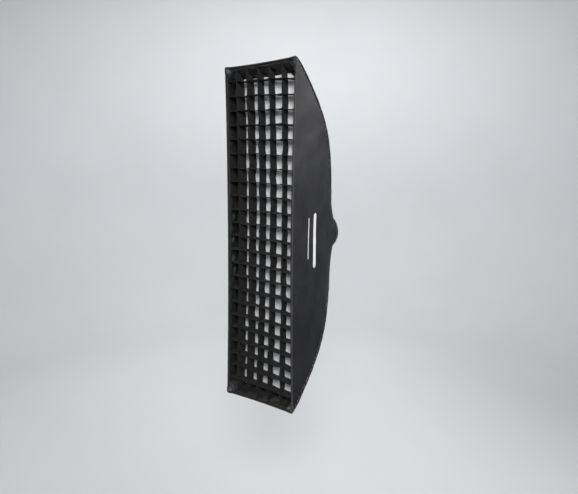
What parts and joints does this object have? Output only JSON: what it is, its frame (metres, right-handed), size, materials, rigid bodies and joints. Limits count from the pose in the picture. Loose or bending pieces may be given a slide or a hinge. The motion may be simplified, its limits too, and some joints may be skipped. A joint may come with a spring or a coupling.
{
  "type": "strip softbox",
  "caption": "Tall narrow black strip softbox for a studio flash: fabric shell on sprung rods, speed ring with bayonet adapter, inner baffle, front diffuser and egg-crate grid.",
  "frame": {"origin": "middle of the bayonet adapter's seat, the plane that lies against the flash head", "axes": "-Y the way the light leaves, +Y towards the flash head, +Z along the strip, +X across it"},
  "size_m": [0.3082, 0.4552, 1.2068],
  "materials": {
    "adapter_steel": "satin",
    "ring_paint": "satin",
    "clamp_steel": "satin",
    "rod_steel": "satin",
    "black_plastic": "matte",
    "shell_cloth": "matte",
    "binding_tape": "matte",
    "corner_webbing": "matte",
    "hook_and_loop": "matte",
    "grid_cloth": "matte",
    "diffusion_cloth": "matte",
    "white_elastic": "matte"
  },
  "bodies": {
    "adapter": {"bayonet_ring": "adapter_steel"},
    "softbox": {"speed_ring": "ring_paint", "rod_socket_top_right": "rod_steel", "rod_socket_top_left": "rod_steel", "rod_socket_bottom_right": "rod_steel", "rod_socket_bottom_left": "rod_steel", "rod_top_right": "rod_steel", "rod_top_left": "rod_steel", "rod_bottom_right": "rod_steel", "rod_bottom_left": "rod_steel", "rod_tip_top_right": "black_plastic", "rod_tip_top_left": "black_plastic", "rod_tip_bottom_right": "black_plastic", "rod_tip_bottom_left": "black_plastic", "corner_pocket_top_right": "corner_webbing", "corner_pocket_top_left": "corner_webbing", "corner_pocket_bottom_right": "corner_webbing", "corner_pocket_bottom_left": "corner_webbing", "side_panel_right": "shell_cloth", "side_panel_left": "shell_cloth", "end_panel_top": "shell_cloth", "end_panel_bottom": "shell_cloth", "rear_collar": "shell_cloth", "collar_closure_tab": "hook_and_loop", "seam_binding_top_right": "binding_tape", "seam_binding_top_left": "binding_tape", "seam_binding_bottom_right": "binding_tape", "seam_binding_bottom_left": "binding_tape", "front_hem_right": "binding_tape", "front_hem_left": "binding_tape", "front_hem_top": "binding_tape", "front_hem_bottom": "binding_tape", "lip_loop_tape": "hook_and_loop"},
    "clamp_tab_1": {"clamp_tab_1": "clamp_steel"},
    "clamp_screw_1": {"clamp_screw_1": "clamp_steel"},
    "clamp_tab_2": {"clamp_tab_2": "clamp_steel"},
    "clamp_screw_2": {"clamp_screw_2": "clamp_steel"},
    "clamp_tab_3": {"clamp_tab_3": "clamp_steel"},
    "clamp_screw_3": {"clamp_screw_3": "clamp_steel"},
    "clamp_tab_4": {"clamp_tab_4": "clamp_steel"},
    "clamp_screw_4": {"clamp_screw_4": "clamp_steel"},
    "baffle": {"inner_baffle": "diffusion_cloth", "baffle_strap_top_right": "white_elastic", "baffle_strap_top_left": "white_elastic", "baffle_strap_bottom_right": "white_elastic", "baffle_strap_bottom_left": "white_elastic", "baffle_hook_top_right": "black_plastic", "baffle_hook_top_left": "black_plastic", "baffle_hook_bottom_right": "black_plastic", "baffle_hook_bottom_left": "black_plastic"},
    "diffuser": {"front_diffuser": "diffusion_cloth", "front_diffuser_border": "hook_and_loop"},
    "grid": {"grid_border": "hook_and_loop", "grid_lattice": "grid_cloth"}
  },
  "joints": [
    {"name": "softbox_rotation", "type": "hinge", "parent": "adapter", "child": "softbox", "pos_m": [0, 0, 0], "axis": [0, 1, 0], "continuous": true},
    {"name": "clamp_1_swivel", "type": "hinge", "parent": "softbox", "child": "clamp_tab_1", "pos_m": [0, -0.0124, 0.07], "axis": [0, 1, 0], "range_deg": [0, 90]},
    {"name": "clamp_1_screw", "type": "hinge", "parent": "softbox", "child": "clamp_screw_1", "pos_m": [0, -0.0145, 0.07], "axis": [0, 1, 0], "continuous": true},
    {"name": "clamp_2_swivel", "type": "hinge", "parent": "softbox", "child": "clamp_tab_2", "pos_m": [0.07, -0.0124, 0], "axis": [0, 1, 0], "range_deg": [0, 90]},
    {"name": "clamp_2_screw", "type": "hinge", "parent": "softbox", "child": "clamp_screw_2", "pos_m": [0.07, -0.0145, 0], "axis": [0, 1, 0], "continuous": true},
    {"name": "clamp_3_swivel", "type": "hinge", "parent": "softbox", "child": "clamp_tab_3", "pos_m": [0, -0.0124, -0.07], "axis": [0, 1, 0], "range_deg": [0, 90]},
    {"name": "clamp_3_screw", "type": "hinge", "parent": "softbox", "child": "clamp_screw_3", "pos_m": [0, -0.0145, -0.07], "axis": [0, 1, 0], "continuous": true},
    {"name": "clamp_4_swivel", "type": "hinge", "parent": "softbox", "child": "clamp_tab_4", "pos_m": [-0.07, -0.0124, 0], "axis": [0, 1, 0], "range_deg": [0, 90]},
    {"name": "clamp_4_screw", "type": "hinge", "parent": "softbox", "child": "clamp_screw_4", "pos_m": [-0.07, -0.0145, 0], "axis": [0, 1, 0], "continuous": true},
    {"name": "baffle_lift_off", "type": "slide", "parent": "softbox", "child": "baffle", "axis": [0, -1, 0], "range_m": [0, 0.26]},
    {"name": "diffuser_lift_off", "type": "slide", "parent": "baffle", "child": "diffuser", "axis": [0, -1, 0], "range_m": [0, 0.08]},
    {"name": "grid_lift_off", "type": "slide", "parent": "diffuser", "child": "grid", "axis": [0, -1, 0], "range_m": [0, 0.06]}
  ]
}
